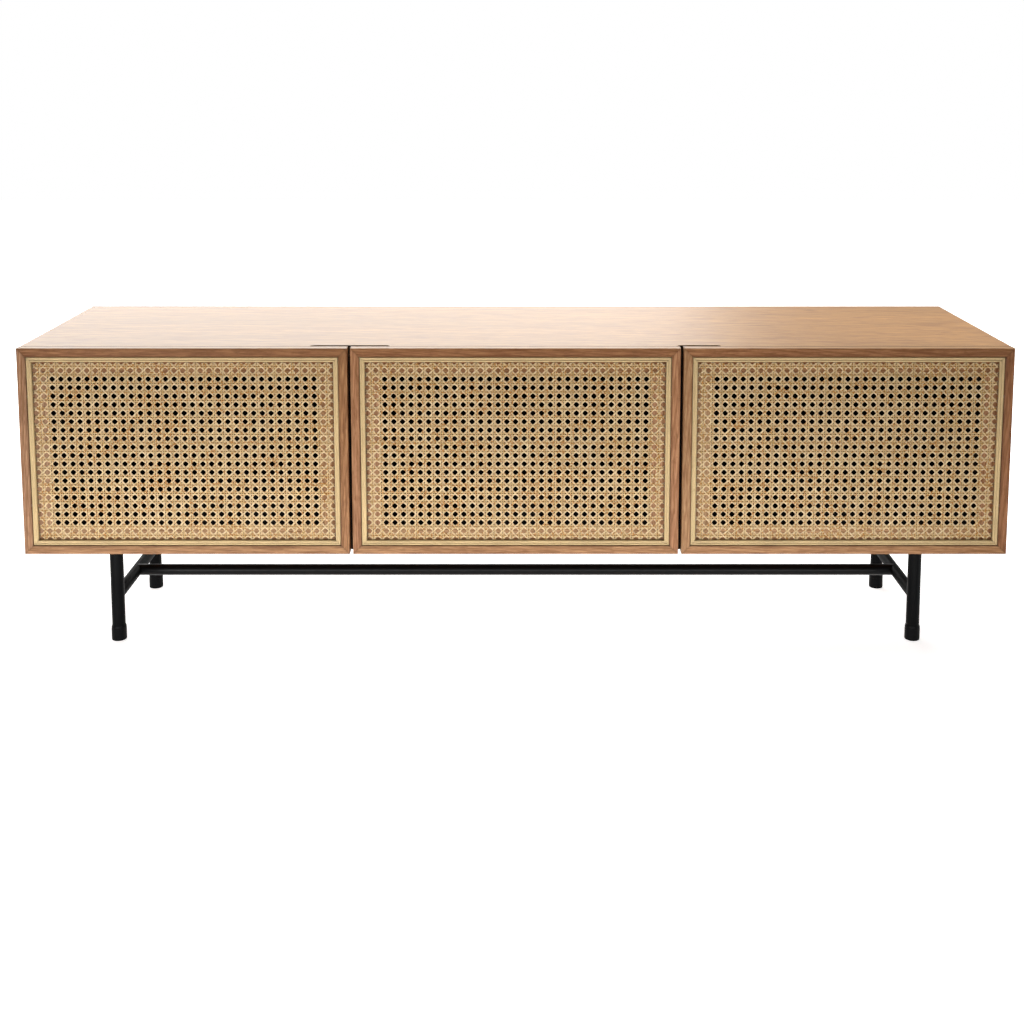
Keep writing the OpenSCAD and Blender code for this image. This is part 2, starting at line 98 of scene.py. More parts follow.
# Painted light: the doors' upper edges are made lighter and yellower, like the lit top
UPPER_EDGE_LIGHT = (1.06, 1.24, 0.96)


class CaneSettings(PropertyGroup):
    """Sizes and colours of the six-way cane webbing."""

    pitch: FloatProperty(
        name="Pitch", description="Spacing of the holes", default=15.8 * MM, unit="LENGTH"
    )
    pair_offset: FloatProperty(
        name="Pair Offset",
        description="Distance of each strand of a pair from the pair's middle",
        default=1.83 * MM,
        unit="LENGTH",
    )
    pair_width: FloatProperty(
        name="Pair Strand Width",
        description="Width of the upright and level strands",
        default=2.9 * MM,
        unit="LENGTH",
    )
    diagonal_width: FloatProperty(
        name="Diagonal Width",
        description="Width of the diagonal strands",
        default=3.05 * MM,
        unit="LENGTH",
    )
    thickness: FloatProperty(
        name="Thickness", description="Thickness of a strand", default=0.5 * MM, unit="LENGTH"
    )
    crown: FloatProperty(
        name="Crown",
        description="Width of a strand's outer face as a share of its width",
        default=0.6,
        subtype="FACTOR",
    )
    wander: FloatProperty(
        name="Wander",
        description="How far a strand strays sideways from its line",
        default=0.07 * MM,
        unit="LENGTH",
    )
    pale: FloatVectorProperty(
        name="Pale",
        description="Colour of the palest strands",
        subtype="COLOR",
        default=(0.83, 0.67, 0.44),
    )
    tan: FloatVectorProperty(
        name="Tan",
        description="Colour of the darker strands",
        subtype="COLOR",
        default=(0.385, 0.235, 0.082),
    )
    gold: FloatVectorProperty(
        name="Gold",
        description="Colour of the golden patches",
        subtype="COLOR",
        default=(0.55, 0.375, 0.135),
    )
    speck: FloatVectorProperty(
        name="Speck",
        description="Colour of the flecks of bark",
        subtype="COLOR",
        default=(0.35, 0.15, 0.028),
    )


class WoodSettings(PropertyGroup):
    """Colours and gloss of the veneer, the dark inside and the bead."""

    light: FloatVectorProperty(
        name="Light Wood",
        description="Colour between the fibres",
        subtype="COLOR",
        default=(0.41, 0.203, 0.098),
    )
    dark: FloatVectorProperty(
        name="Dark Wood",
        description="Colour of the fibres",
        subtype="COLOR",
        default=(0.185, 0.074, 0.030),
    )
    pore: FloatVectorProperty(
        name="Pores",
        description="Colour of the open pores",
        subtype="COLOR",
        default=(0.09, 0.034, 0.014),
    )
    # Near-black: partly the inside's stain, partly painted shade inside the cabinet
    inside: FloatVectorProperty(
        name="Inside",
        description="Colour of the stained inside",
        subtype="COLOR",
        default=(0.008, 0.007, 0.0065),
    )
    bead: FloatVectorProperty(
        name="Bead",
        description="Colour of the bead round the cane",
        subtype="COLOR",
        default=(0.60, 0.435, 0.22),
    )
    # Painted shade down in the bead's groove; the bead's knots take this colour too
    groove: FloatVectorProperty(
        name="Bead Groove",
        description="Colour down in the bead's groove",
        subtype="COLOR",
        default=(0.30, 0.185, 0.06),
    )
    gloss: FloatProperty(
        name="Gloss",
        description="Specular level of the oiled wood",
        default=0.13,
        subtype="FACTOR",
    )
    roughness: FloatProperty(
        name="Roughness",
        description="Roughness of the oiled wood",
        default=0.46,
        subtype="FACTOR",
    )


class SteelSettings(PropertyGroup):
    """Colours of the powder-coated frame, its feet, the fittings and the catches."""

    coat: FloatVectorProperty(
        name="Powder Coat",
        description="Colour of the legs and stretchers",
        subtype="COLOR",
        default=(0.002, 0.0021, 0.0024),
    )
    rubber: FloatVectorProperty(
        name="Feet",
        description="Colour of the foot cups",
        subtype="COLOR",
        default=(0.003, 0.003, 0.0034),
    )
    bright: FloatVectorProperty(
        name="Bright Steel",
        description="Colour of the hinges, pins, screws and strike plates",
        subtype="COLOR",
        default=(0.33, 0.33, 0.335),
    )
    plastic: FloatVectorProperty(
        name="Catch Plastic",
        description="Colour of the catches",
        subtype="COLOR",
        default=(0.11, 0.075, 0.05),
    )


class StudioSettings(PropertyGroup):
    """Camera, lamps and floor."""

    camera_place: FloatVectorProperty(
        name="Camera Place",
        description="Where the camera stands",
        subtype="XYZ",
        unit="LENGTH",
        default=(0.0070, -2.6384, 1.0738),
    )
    camera_pitch: FloatProperty(
        name="Camera Pitch",
        description="How far the camera looks down",
        default=math.radians(7.08),
        subtype="ANGLE",
    )
    lens: FloatProperty(name="Lens", description="Focal length in millimetres", default=47.96)
    shift_x: FloatProperty(
        name="Shift X", description="Sideways shift of the lens", default=-0.0072
    )
    shift_y: FloatProperty(
        name="Shift Y", description="Upright shift of the lens", default=-0.262
    )
    ambient: FloatProperty(
        name="Ambient", description="Strength of the light from all round", default=0.16
    )
    backdrop: FloatProperty(
        name="Backdrop", description="Strength of the white background", default=1.0
    )
    floor_reach: FloatProperty(
        name="Floor Reach",
        description="How far the floor runs from its middle",
        default=9.0,
        unit="LENGTH",
    )
    floor_colour: FloatVectorProperty(
        name="Floor Colour",
        description="Colour of the floor",
        subtype="COLOR",
        default=(0.86, 0.86, 0.86),
    )
    floor_glow: FloatProperty(
        name="Floor Glow",
        description="White that the camera sees over the floor's own light",
        default=0.78,
    )
    window_power: FloatProperty(
        name="Window Power",
        description="Power of the large panel behind the left end",
        default=180.0,
    )
    overhead_power: FloatProperty(
        name="Overhead Power", description="Power of the panel above", default=88.0
    )
    bounce_power: FloatProperty(
        name="Bounce Power",
        description="Power of the low strip before the doors",
        default=12.5,
    )
    side_power: FloatProperty(
        name="Side Power", description="Power of the narrow light at the left", default=5.0
    )


# Shader building


def fill(tree, node, inputs):
    """Sets a node's inputs: a socket is linked, and anything else becomes the value."""
    for key, value in inputs.items():
        if isinstance(value, bpy.types.NodeSocket):
            tree.links.new(value, node.inputs[key])
        else:
            node.inputs[key].default_value = value


def add_node(tree, kind, inputs=None, **settings):
    """Adds a shader node, sets its properties and fills its inputs."""
    node = tree.nodes.new("ShaderNode" + kind)
    for name, value in settings.items():
        setattr(node, name, value)
    fill(tree, node, inputs or {})
    return node


def empty_tree(owner):
    """Turns on the node tree of a material or a world, and empties it."""
    owner.use_nodes = True
    owner.node_tree.nodes.clear()
    return owner.node_tree


def new_finish(name):
    """A new material, its node tree and the Principled shader in it."""
    material = bpy.data.materials.new(name)
    tree = empty_tree(material)
    shader = add_node(tree, "BsdfPrincipled")
    add_node(tree, "OutputMaterial", {"Surface": shader.outputs["BSDF"]})
    return material, tree, shader


def rgba(colour):
    """A colour with full alpha, as sockets and ramps take it."""
    return (*colour, 1.0)


def ramp(tree, factor, stops):
    """A colour ramp through (position, colour) stops."""
    node = add_node(tree, "ValToRGB", {"Fac": factor})
    elements = node.color_ramp.elements
    while len(elements) < len(stops):
        elements.new(0.5)
    for element, (position, colour) in zip(elements, stops):
        element.position = position
        element.color = rgba(colour)
    return node.outputs["Color"]


def grey_ramp(tree, factor, low, high, at_low=0.0, at_high=1.0):
    """A ramp from one level of grey, at the low factor, to another at the high one."""
    return ramp(tree, factor, [(low, (at_low,) * 3), (high, (at_high,) * 3)])


def blend(tree, factor, first, second, mode="MIX"):
    """Mixes two colours; each may be a socket or a colour."""
    node = add_node(tree, "Mix", {0: factor}, data_type="RGBA", blend_type=mode)
    for key, colour in ((6, first), (7, second)):
        if not isinstance(colour, bpy.types.NodeSocket):
            colour = rgba(colour)
        fill(tree, node, {key: colour})
    return node.outputs[2]


def tinted(tree, colour, tint):
    """A colour multiplied by another colour or by a level of grey."""
    return blend(tree, 1.0, colour, tint, "MULTIPLY")


def calculate(tree, operation, *values):
    """A Math node; each value may be a socket or a number."""
    return add_node(tree, "Math", dict(enumerate(values)), operation=operation).outputs[0]


def noise(tree, vector, scale, detail, roughness, distortion=0.0):
    """A noise pattern; its scale counts features to the metre."""
    return add_node(
        tree,
        "TexNoise",
        {
            "Vector": vector,
            "Scale": scale,
            "Detail": detail,
            "Roughness": roughness,
            "Distortion": distortion,
        },
    ).outputs["Fac"]


def object_place(tree):
    """Object coordinates, which are those of the shared frame."""
    return add_node(tree, "TexCoord").outputs["Object"]


def split_place(tree):
    """Object coordinates as three values, named by their axes."""
    return add_node(tree, "SeparateXYZ", {0: object_place(tree)}).outputs


def stretched(tree, along, stretch, start=(0.0, 0.0, 0.0)):
    """Object coordinates turned so that X runs along the grain, moved by start so that like
    boards differ, and pulled out along the grain."""
    turn = {"X": (0, 0, 0), "Y": (0, 0, math.radians(90)), "Z": (0, math.radians(90), 0)}[along]
    turned = add_node(
        tree, "Mapping", {"Vector": object_place(tree), "Location": start, "Rotation": turn}
    ).outputs["Vector"]
    return add_node(
        tree, "Mapping", {"Vector": turned, "Scale": (1 / stretch, 1.0, 1.0)}
    ).outputs["Vector"]


def bump(tree, height, strength, distance):
    """Normals of the relief that a pattern's height gives."""
    return add_node(
        tree, "Bump", {"Height": height, "Strength": strength, "Distance": distance}
    ).outputs["Normal"]


def give(obj, material):
    """Puts one material on every face of a piece or a CAD node."""
    for slot in obj.material_slots:
        slot.material = material
    if not obj.material_slots:
        obj.data.materials.append(material)


# Places on a door, seen from the front


def rectangle(low, high):
    """Middle and half sizes of a box, along X and along Z."""
    centre = (low.x + high.x) / 2, (low.z + high.z) / 2
    half = (high.x - low.x) / 2, (high.z - low.z) / 2
    return centre, half


def frame_opening(door):
    """Lower and upper corner of the opening in a door's frame."""
    rail_low, rail_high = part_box(door + "_top_rail")
    member = rail_high.z - rail_low.z
    low = Vector((rail_low.x + member, 0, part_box(door + "_bottom_rail")[1].z))
    high = Vector((rail_high.x - member, 0, rail_low.z))
    return low, high


def outside(tree, centre, half):
    """How far a point lies outside a rectangle, along X and along Z."""
    place = split_place(tree)
    distances = []
    for axis, middle, reach in zip("XZ", centre, half):
        off_middle = calculate(tree, "ABSOLUTE", calculate(tree, "SUBTRACT", place[axis], middle))
        distances.append(calculate(tree, "SUBTRACT", off_middle, reach))
    return distances


def from_mitre(tree, across, up):
    """How far a point lies off a rectangle's mitre lines, on which it lies as far outside
    along X as along Z."""
    return calculate(tree, "ABSOLUTE", calculate(tree, "SUBTRACT", across, up))


# Finishes. A ramp over a distance has its stops in metres.


def wood_grain(tree, wood, along, start, ring_gap=7 * MM, drawn=0.6):
    """Colour and relief of the veneer, with its fibres along one axis, and its growth
    rings a gap apart and more or less drawn."""
    broad = noise(tree, stretched(tree, along, 9.0, start), 9.0, 3.0, 0.55, 0.4)
    plank = noise(tree, stretched(tree, along, 5.0, start), 2.2, 1.0, 0.5)
    fibre = noise(tree, stretched(tree, along, 18.0, start), 340.0, 5.0, 0.68, 0.15)
    flecks = noise(tree, stretched(tree, along, 13.0, start), 560.0, 2.0, 0.5)
    figure = noise(tree, stretched(tree, along, 2.6, start), 0.55 / ring_gap, 3.0, 0.6, 0.5)
    # Diagonal bands repeat every pi / 5 metres at a scale of 1
    lines = add_node(
        tree,
        "TexWave",
        {
            "Vector": stretched(tree, along, 12.0, start),
            "Scale": math.pi / 5 / ring_gap,
            "Distortion": 9.0,
            "Detail": 3.0,
            "Detail Scale": 0.55,
            "Detail Roughness": 0.55,
        },
        wave_type="BANDS",
        bands_direction="DIAGONAL",
    ).outputs["Fac"]
    body = blend(tree, grey_ramp(tree, fibre, 0.34, 0.64), wood.dark, wood.light)
    rings = calculate(tree, "MULTIPLY", grey_ramp(tree, lines, 0.6, 0.95), drawn)
    rings = calculate(tree, "MULTIPLY", rings, grey_ramp(tree, broad, 0.35, 0.6, 0.3, 1.0))
    body = blend(tree, rings, body, wood.dark)
    body = tinted(tree, body, grey_ramp(tree, broad, 0.3, 0.72, 0.86, 1.12))
    body = tinted(tree, body, grey_ramp(tree, plank, 0.35, 0.65, 0.90, 1.10))
    figure = calculate(tree, "MULTIPLY", grey_ramp(tree, figure, 0.54, 0.66), 0.45)
    body = blend(tree, figure, body, wood.dark)
    pores = grey_ramp(tree, flecks, 0.60, 0.70)
    body = blend(tree, calculate(tree, "MULTIPLY", pores, 0.5), body, wood.pore)
    relief = calculate(tree, "SUBTRACT", fibre, calculate(tree, "MULTIPLY", pores, 0.6))
    return body, relief


def stain_and_shade_mask(tree, axis, limit, sign, notched):
    """1 on a board's inner face, which is stained near-black, and, as painted shade, on its front
    edge behind the doors and, where it is notched, on the walls of its finger notches."""
    place = split_place(tree)
    value = place[axis]
    if axis == "X":
        value = calculate(tree, "ABSOLUTE", value)
    mask = calculate(tree, "GREATER_THAN" if sign > 0 else "LESS_THAN", value, limit)
    # Painted shade: the front edge behind the doors takes the stain's near-black
    front = calculate(tree, "LESS_THAN", place["Y"], TOP_LOW.y + STAIN_AND_SHADE_REACH)
    mask = calculate(tree, "MAXIMUM", mask, front)
    if notched:
        # Painted shade: so do the walls of the finger notches
        wall = calculate(tree, "LESS_THAN", place["Y"], TOP_LOW.y + NOTCH_DEEP + STAIN_AND_SHADE_REACH)
        below = calculate(tree, "LESS_THAN", place["Z"], TOP_HIGH.z - 0.5 * MM)
        mask = calculate(tree, "MAXIMUM", mask, calculate(tree, "MULTIPLY", wall, below))
    return mask


def frame_shading(tree, body, door):
    """Paints a door's frame: a painted shadow of the bead on the recess just inside it, with a
    cooler tint further in, dark mitre lines, painted shade in the crevice round the bead and
    on the opening's inner edges, and painted light on its upper edge, lighter and yellower
    like the lit top."""
    across, up = outside(tree, *rectangle(*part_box(door + "_bead")))
    past_bead = calculate(tree, "MAXIMUM", across, up)
    # Painted shadow of the bead on the recess just inside it, fading to a cooler tint of the
    # recess further in
    recess = [
        (BEAD_W - MM, (1.0, 1.0, 1.0)),
        (BEAD_W, (0.34, 0.24, 0.18)),
        (BEAD_W + 5.5 * MM, (0.98, 1.06, 1.14)),
    ]
    within_bead = calculate(tree, "MULTIPLY", past_bead, -1.0)
    body = tinted(tree, body, ramp(tree, within_bead, recess))
    mitre = from_mitre(tree, across, up)
    body = tinted(tree, body, grey_ramp(tree, mitre, 0.15 * MM, 0.55 * MM, 0.74, 1.0))
    # Painted shade in the crevice round the bead, half as bright at its edge
    from_bead = calculate(tree, "ABSOLUTE", past_bead)
    crevice = grey_ramp(tree, from_bead, 0.2 * MM, 1.7 * MM, 0.5, 1.0)
    # Painted shade on the opening's inner edges, a tenth as bright; the frame's face takes the
    # crevice's painted shade
    past_opening = calculate(tree, "MAXIMUM", *outside(tree, *rectangle(*frame_opening(door))))
    face = calculate(tree, "GREATER_THAN", past_opening, 0.25 * MM)
    body = tinted(tree, body, blend(tree, face, (0.1, 0.1, 0.1), crevice))
    # Painted light on the faces at the doors' upper edges
    upper = calculate(tree, "GREATER_THAN", split_place(tree)["Z"], TOP_HIGH.z - 0.3 * MM)
    return blend(tree, upper, body, tinted(tree, body, UPPER_EDGE_LIGHT))


def wood_finish(
    name,
    wood,
    along,
    start,
    inside=None,
    notched=False,
    door=None,
    tone=(1.0, 1.0, 1.0),
    gloss=1.0,
    **grain,
):
    """Oiled veneer in its own tone, which on the door frames also holds painted light; inside is
    (axis, limit, sign) for the face that is stained dark, and the front edge behind the doors
    is darkened too as painted shade; notched says that the board has finger notches, whose
    walls are darkened as painted shade; and door names the door whose frame gets its painted
    shade and light."""
    material, tree, shader = new_finish(name)
    body, relief = wood_grain(tree, wood, along, start, **grain)
    body = tinted(tree, body, tone)
    roughness = calculate(tree, "MULTIPLY_ADD", relief, 0.08, wood.roughness - 0.04)
    if inside:
        mask = stain_and_shade_mask(tree, *inside, notched)
        # Near-black on the stained inner face, and as painted shade on the front edge and notch
        # walls
        body = blend(tree, mask, body, blend(tree, 0.04, wood.inside, body))
        stained = calculate(tree, "MULTIPLY", mask, 0.95)
        roughness = calculate(tree, "MAXIMUM", roughness, stained)
    if door:
        body = frame_shading(tree, body, door)
    looks = {
        "Base Color": body,
        "Roughness": roughness,
        "Specular IOR Level": wood.gloss * gloss,
        "Normal": bump(tree, relief, 0.35, 0.15 * MM),
    }
    fill(tree, shader, looks)
    return material


def dark_inside_finish(name, wood, along):
    """The inside boards, near-black as stain and as painted shade, with a trace of grain."""
    material, tree, shader = new_finish(name)
    body, relief = wood_grain(tree, wood, along, (0.0, 0.0, 0.0))
    looks = {
        "Base Color": blend(tree, 0.03, wood.inside, body),
        "Roughness": 0.85,
        "Specular IOR Level": 0.04,
        "Normal": bump(tree, relief, 0.3, 0.1 * MM),
    }
    fill(tree, shader, looks)
    return material


def bead_finish(name, wood, door):
    """Straw-coloured bead with fine fibres, darker knots, a tan groove that is painted shade
    below pale crests that are painted highlights, mitred corners and a darker lower strip."""
    material, tree, shader = new_finish(name)
    low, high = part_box(door + "_bead")
    place = object_place(tree)
    fine = noise(tree, place, 900.0, 3.0, 0.6)
    broad = noise(tree, place, 14.0, 3.0, 0.6)
    knots = grey_ramp(tree, noise(tree, place, 130.0, 2.0, 0.5), 0.62, 0.74)
    split = split_place(tree)
    depth = calculate(tree, "SUBTRACT", split["Y"], low.y)
    # Painted highlight and shade: only the crests keep the bead's colour, the groove below them
    # takes the groove's, and the bead's colour comes back deeper down
    groove = [
        (0.05 * MM, (0.0, 0.0, 0.0)),
        (0.3 * MM, (1.0, 1.0, 1.0)),
        (1.1 * MM, (1.0, 1.0, 1.0)),
        (1.7 * MM, (0.0, 0.0, 0.0)),
    ]
    body = blend(tree, ramp(tree, depth, groove), wood.bead, wood.groove)
    body = tinted(tree, body, grey_ramp(tree, fine, 0.25, 0.75, 0.80, 1.10))
    body = tinted(tree, body, grey_ramp(tree, broad, 0.3, 0.7, 0.86, 1.06))
    body = blend(tree, calculate(tree, "MULTIPLY", knots, 0.4), body, wood.groove)
    across, up = outside(tree, *rectangle(low, high))
    mitre = from_mitre(tree, across, up)
    body = tinted(tree, body, grey_ramp(tree, mitre, 0.1 * MM, 0.4 * MM, 0.8, 1.0))
    lower = calculate(tree, "LESS_THAN", split["Z"], low.z + BEAD_W)
    lower = calculate(tree, "MULTIPLY", lower, calculate(tree, "LESS_THAN", across, up))
    body = blend(tree, lower, body, tinted(tree, body, (0.84, 0.84, 0.84)))
    looks = {
        "Base Color": body,
        "Roughness": 0.5,
        "Specular IOR Level": 0.25,
        "Normal": bump(tree, fine, 0.25, 0.1 * MM),
    }
    fill(tree, shader, looks)
    return material


def hole_distance(tree, panel, pitch):
    """How far a point of the webbing lies from the middle of the nearest hole."""
    level = calculate(tree, "SUBTRACT", panel["Y"], pitch / 2)
    nearest = add_node(
        tree,
        "CombineXYZ",
        {
            "X": calculate(tree, "PINGPONG", panel["X"], pitch / 2),
            "Y": calculate(tree, "PINGPONG", level, pitch / 2),
        },
    ).outputs[0]
    return add_node(tree, "VectorMath", {0: nearest}, operation="LENGTH").outputs["Value"]


def bead_distance(tree, panel, half):
    """How far a point of the webbing lies from the bead, where half is the half size of what
    the bead leaves open. The bead's lower strip casts less shade, so it counts as further
    off."""
    beside = calculate(tree, "SUBTRACT", half[0], calculate(tree, "ABSOLUTE", panel["X"]))
    below_top = calculate(tree, "SUBTRACT", half[1], panel["Y"])
    above_sill = calculate(tree, "ADD", panel["Y"], half[1] + 3 * MM)
    nearest = calculate(tree, "MINIMUM", beside, below_top)
    return calculate(tree, "MINIMUM", nearest, above_sill)


def cane_finish(name, cane, paleness, lean, half):
    """Split cane: a tone for each strand, which leans paler towards its outer edge by the holes
    as a painted highlight, fibres along it, golden patches, flecks of bark, darker strand
    edges, a paler rim round each hole as a painted highlight, darker far from the holes, and
    a painted shadow of the bead along the bead. Paleness is what the patterns' shares of the
    tone are added to."""
    material, tree, shader = new_finish(name)
    strand = add_node(tree, "UVMap", uv_map="strand").outputs["UV"]
    panel = add_node(tree, "UVMap", uv_map="panel").outputs["UV"]
    panel = add_node(tree, "SeparateXYZ", {0: panel}).outputs
    numbered = add_node(tree, "SeparateXYZ", {0: strand}).outputs["Y"]
    number = calculate(tree, "FLOOR", numbered)
    across = calculate(tree, "FRACT", numbered)
    own = add_node(tree, "TexWhiteNoise", {"W": number}, noise_dimensions="1D").outputs["Value"]
    along = add_node(tree, "Mapping", {"Vector": strand, "Scale": (60.0, 9.0, 1.0)})
    fibres = noise(tree, along.outputs["Vector"], 1.0, 4.0, 0.6)
    place = object_place(tree)
    patches = noise(tree, place, 34.0, 3.0, 0.6)
    mottle = noise(tree, place, 240.0, 2.0, 0.6)
    flecks = noise(tree, place, 270.0, 2.0, 0.5)

    tone = paleness
    # Painted highlight: lean makes a strand paler towards its outer edge, by the holes
    for pattern, share in ((own, 0.35), (fibres, 0.5), (mottle, 0.7), (across, lean)):
        tone = calculate(tree, "MULTIPLY_ADD", pattern, share, tone)
    body = blend(tree, grey_ramp(tree, tone, 0.0, 1.0), cane.tan, cane.pale)
    golden = grey_ramp(tree, mottle, 0.48, 0.64)
    golden = calculate(tree, "MULTIPLY", golden, grey_ramp(tree, patches, 0.38, 0.62, 0.25, 0.85))
    body = blend(tree, golden, body, cane.gold)
    from_middle = calculate(tree, "ABSOLUTE", calculate(tree, "SUBTRACT", across, 0.5))
    body = tinted(tree, body, grey_ramp(tree, from_middle, 0.30, 0.50, 1.0, 0.66))

    from_hole = hole_distance(tree, panel, cane.pitch)
    # Painted highlight: a paler rim round each hole
    hole_highlight = grey_ramp(tree, from_hole, 4.8 * MM, 6.5 * MM, 0.55, 0.0)
    body = blend(tree, hole_highlight, body, cane.pale)
    body = tinted(tree, body, grey_ramp(tree, from_hole, 7.5 * MM, 10.5 * MM, 1.0, 0.8))

    limit = calculate(tree, "SUBTRACT", 0.71, calculate(tree, "MULTIPLY", patches, 0.32))
    fleck = grey_ramp(tree, calculate(tree, "SUBTRACT", flecks, limit), 0.0, 0.06)
    body = blend(tree, calculate(tree, "MULTIPLY", fleck, 0.95), body, cane.speck)

    # Painted shadow of the bead, darkest close to it
    line = [(1.7 * MM, (0.07, 0.04, 0.02)), (4.0 * MM, (1.0, 1.0, 1.0))]
    body = tinted(tree, body, ramp(tree, bead_distance(tree, panel, half), line))
    looks = {
        "Base Color": body,
        "Roughness": 0.42,
        "Specular IOR Level": 0.3,
        "Normal": bump(tree, fibres, 0.3, 0.08 * MM),
    }
    fill(tree, shader, looks)
    return material


def powder_finish(name, colour, roughness, gloss):
    """Fine-textured powder coat, moulded rubber or plastic."""
    material, tree, shader = new_finish(name)
    place = object_place(tree)
    grain = noise(tree, place, 1400.0, 2.0, 0.5)
    cloud = noise(tree, place, 22.0, 3.0, 0.5)
    looks = {
        "Base Color": tinted(tree, colour, grey_ramp(tree, cloud, 0.3, 0.7, 0.85, 1.15)),
        "Roughness": calculate(tree, "MULTIPLY_ADD", cloud, 0.12, roughness - 0.06),
        "Specular IOR Level": gloss,
        "Normal": bump(tree, grain, 0.2, 0.05 * MM),
    }
    fill(tree, shader, looks)
    return material


def plated_finish(name, colour):
    """Nickel-plated steel with fine brush marks."""
    material, tree, shader = new_finish(name)
    brushed = noise(tree, stretched(tree, "Y", 14.0), 900.0, 2.0, 0.5)
    looks = {
        "Base Color": tinted(tree, colour, grey_ramp(tree, brushed, 0.2, 0.8, 0.88, 1.08)),
        "Metallic": 1.0,
        "Roughness": calculate(tree, "MULTIPLY_ADD", brushed, 0.16, 0.30),
    }
    fill(tree, shader, looks)
    return material


# Cane webbing


def straight_strand(cane, length, width, steps, side=1):
    """A strand along X, its narrower crown towards -Y, cut into steps along its length.
    The side says which of its edges is the outer one."""
    bm = bmesh.new()
    bmesh.ops.create_cube(bm, size=1.0)
    outer = [vert for vert in bm.verts if vert.co.y < 0]
    bmesh.ops.scale(bm, verts=outer, vec=(1.0, 1.0, cane.crown))
    bmesh.ops.scale(bm, verts=bm.verts, vec=(length, cane.thickness, width))
    along = [e for e in bm.edges if abs(e.verts[0].co.x - e.verts[1].co.x) > length / 2]
    bmesh.ops.subdivide_edges(bm, edges=along, cuts=steps - 1)
    # U runs along the strand in metres, and V runs across it within a whole number, so that
    # the number can say which strand it is
    strand = bm.loops.layers.uv.new("strand")
    for face in bm.faces:
        face.smooth = True
        for loop in face.loops:
            loop[strand].uv = (loop.vert.co.x, 0.5 + 0.96 * side * loop.vert.co.z / width)
    return bm


def repeat_strand(bm, template, places, across, cane, numbers, rng):
    """Copies a strand into bm at each place, with its own number and a little wander across
    its length."""
    mesh = bpy.data.meshes.new("strand")
    template.to_mesh(mesh)
    template.free()
    for place in places:
        old_verts, old_faces = len(bm.verts), len(bm.faces)
        bm.from_mesh(mesh)
        bm.verts.ensure_lookup_table()
        bm.faces.ensure_lookup_table()
        stray = rng.uniform(-cane.wander, cane.wander)
        bmesh.ops.translate(bm, verts=bm.verts[old_verts:], vec=place + across * stray)
        number = next(numbers)
        strand = bm.loops.layers.uv["strand"]
        for face in bm.faces[old_faces:]:
            for loop in face.loops:
                loop[strand].uv.y += number
    bpy.data.meshes.remove(mesh)


def crossing_lift(place, pitch, offset, height):
    """Rise of a paired strand where it crosses the two strands of the other pair."""
    from_middle = (place - pitch / 2) % pitch
    if from_middle > pitch / 2:
        from_middle -= pitch
    wave = math.sin(math.pi * from_middle / (2 * offset))
    near = max(0.0, math.cos(math.pi * from_middle / pitch)) ** 2
    return height * wave * near


def diagonal_lift(place, pitch, height):
    """Rise of a diagonal, over one pair and under the next."""
    turn = math.cos(2 * math.pi * place / pitch)
    return height * turn * (1.5 - 0.5 * turn * turn)


def paired_strands(cane, width, height, middle, upright, rng):
    """The upright or the level pairs of a door's webbing, in the door's own plane."""
    length, span = (height, width) if upright else (width, height)
    run_middle, row_middle = reversed(middle) if upright else middle
    across = Vector((1, 0, 0)) if upright else Vector((0, 0, 1))
    turn = Matrix.Rotation(math.radians(-90), 4, "Y") if upright else Matrix.Identity(4)
    rise = PAIR_RISE * cane.thickness
    reach = math.ceil(span / cane.pitch)
    steps = round(length / STRAND_STEP)
    numbers = count(1)
    bm = bmesh.new()
    bm.loops.layers.uv.new("strand")
    for side in (-1, 1):
        template = straight_strand(cane, length, cane.pair_width, steps, side)
        over = side if upright else -side
        for vert in template.verts:
            run = vert.co.x - run_middle
            vert.co.y -= over * crossing_lift(run, cane.pitch, cane.pair_offset, rise)
        bmesh.ops.transform(template, verts=template.verts, matrix=turn)
        places = []
        for k in range(-reach, reach):
            offset = row_middle + (k + 0.5) * cane.pitch + side * cane.pair_offset
            if abs(offset) + cane.pair_width / 2 < span / 2:
                places.append(across * offset)
        repeat_strand(bm, template, places, across, cane, numbers, rng)
    return bm


def diagonal_strands(cane, width, height, middle, rng):
    """Both runs of diagonals, each over one pair and under the other, cut off at the door's
    sides."""
    length = height * math.sqrt(2)
    reach = math.ceil((width + height) / cane.pitch)
    steps = round(height / STRAND_STEP)
    numbers = count(1)
    bm = bmesh.new()
    bm.loops.layers.uv.new("strand")
    for lean in (1, -1):
        template = straight_strand(cane, length, cane.diagonal_width, steps)
        for vert in template.verts:
            run = vert.co.x / math.sqrt(2) - middle[1]
            vert.co.y -= lean * diagonal_lift(run, cane.pitch, cane.thickness)
        turn = Matrix.Rotation(math.radians(45 * lean - 90), 4, "Y")
        bmesh.ops.transform(template, verts=template.verts, matrix=turn)
        places = []
        for k in range(-reach, reach):
            offset = middle[0] - lean * middle[1] + (k + 0.5) * cane.pitch
            if abs(offset) < (width + height) / 2 - cane.pitch / 2:
                places.append(Vector((offset, 0, 0)))
        across = Vector((1, 0, -lean)).normalized()
        repeat_strand(bm, template, places, across, cane, numbers, rng)
    for side in (-1, 1):
        bmesh.ops.bisect_plane(
            bm,
            geom=[*bm.verts, *bm.edges, *bm.faces],
            plane_co=(side * width / 2, 0, 0),
            plane_no=(side, 0, 0),
            clear_outer=True,
        )
    bmesh.ops.holes_fill(bm, edges=[edge for edge in bm.edges if edge.is_boundary], sides=0)
    bmesh.ops.recalc_face_normals(bm, faces=bm.faces)
    return bm


